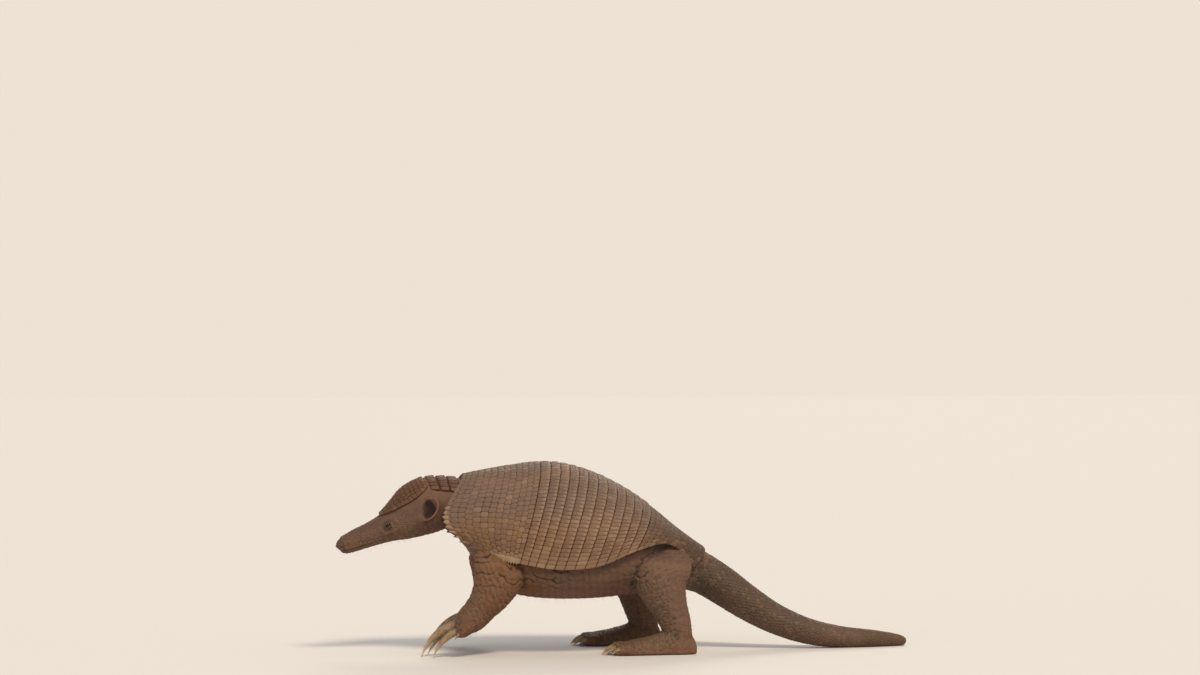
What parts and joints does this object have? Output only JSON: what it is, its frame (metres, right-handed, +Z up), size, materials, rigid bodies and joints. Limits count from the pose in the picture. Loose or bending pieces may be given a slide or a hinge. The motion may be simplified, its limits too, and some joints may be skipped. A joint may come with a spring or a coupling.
{
  "type": "giant armadillo",
  "caption": "Life-size still model of a giant armadillo on all fours, head lowered, with banded shell, long fore claws and a scaly tail laid on the floor.",
  "frame": {"origin": "the floor under the middle of the animal's box", "axes": "+Z up, the nose along -X, the animal's left side towards -Y"},
  "size_m": [1.2324, 0.3324, 0.4024],
  "materials": {
    "shell_plate": "dusty horny scutes over bone",
    "head_plate": "dusty horny scutes, worn smooth",
    "skin": "wrinkled bare skin with dry sand in the folds",
    "tail_scale": "small dull scales in rings",
    "ear": "thin grainy skin",
    "eye": "wet and glossy",
    "claw": "grained horn, scratched by digging"
  },
  "bodies": {
    "root": {"band_1": "shell_plate", "band_10": "shell_plate", "band_11": "shell_plate", "band_12": "shell_plate", "band_2": "shell_plate", "band_3": "shell_plate", "band_4": "shell_plate", "band_5": "shell_plate", "band_6": "shell_plate", "band_7": "shell_plate", "band_8": "shell_plate", "band_9": "shell_plate", "ear_left": "ear", "ear_right": "ear", "eye_left": "eye", "eye_right": "eye", "fore_claw_left_1": "claw", "fore_claw_left_2": "claw", "fore_claw_left_3": "claw", "fore_claw_left_4": "claw", "fore_claw_left_5": "claw", "fore_claw_right_1": "claw", "fore_claw_right_2": "claw", "fore_claw_right_3": "claw", "fore_claw_right_4": "claw", "fore_claw_right_5": "claw", "forefoot_left": "skin", "forefoot_right": "skin", "foreleg_left": "skin", "foreleg_right": "skin", "head": "skin", "head_shield": "head_plate", "hind_claw_left_1": "claw", "hind_claw_left_2": "claw", "hind_claw_left_3": "claw", "hind_claw_left_4": "claw", "hind_claw_left_5": "claw", "hind_claw_right_1": "claw", "hind_claw_right_2": "claw", "hind_claw_right_3": "claw", "hind_claw_right_4": "claw", "hind_claw_right_5": "claw", "hindfoot_left": "skin", "hindfoot_right": "skin", "hindleg_left": "skin", "hindleg_right": "skin", "hip_shield": "shell_plate", "nape_band_1": "head_plate", "nape_band_2": "head_plate", "nape_band_3": "head_plate", "neck": "skin", "shoulder_shield": "shell_plate", "tail_base": "tail_scale", "tail_middle": "tail_scale", "tail_tip": "tail_scale", "trunk": "skin"}
  },
  "joints": []
}
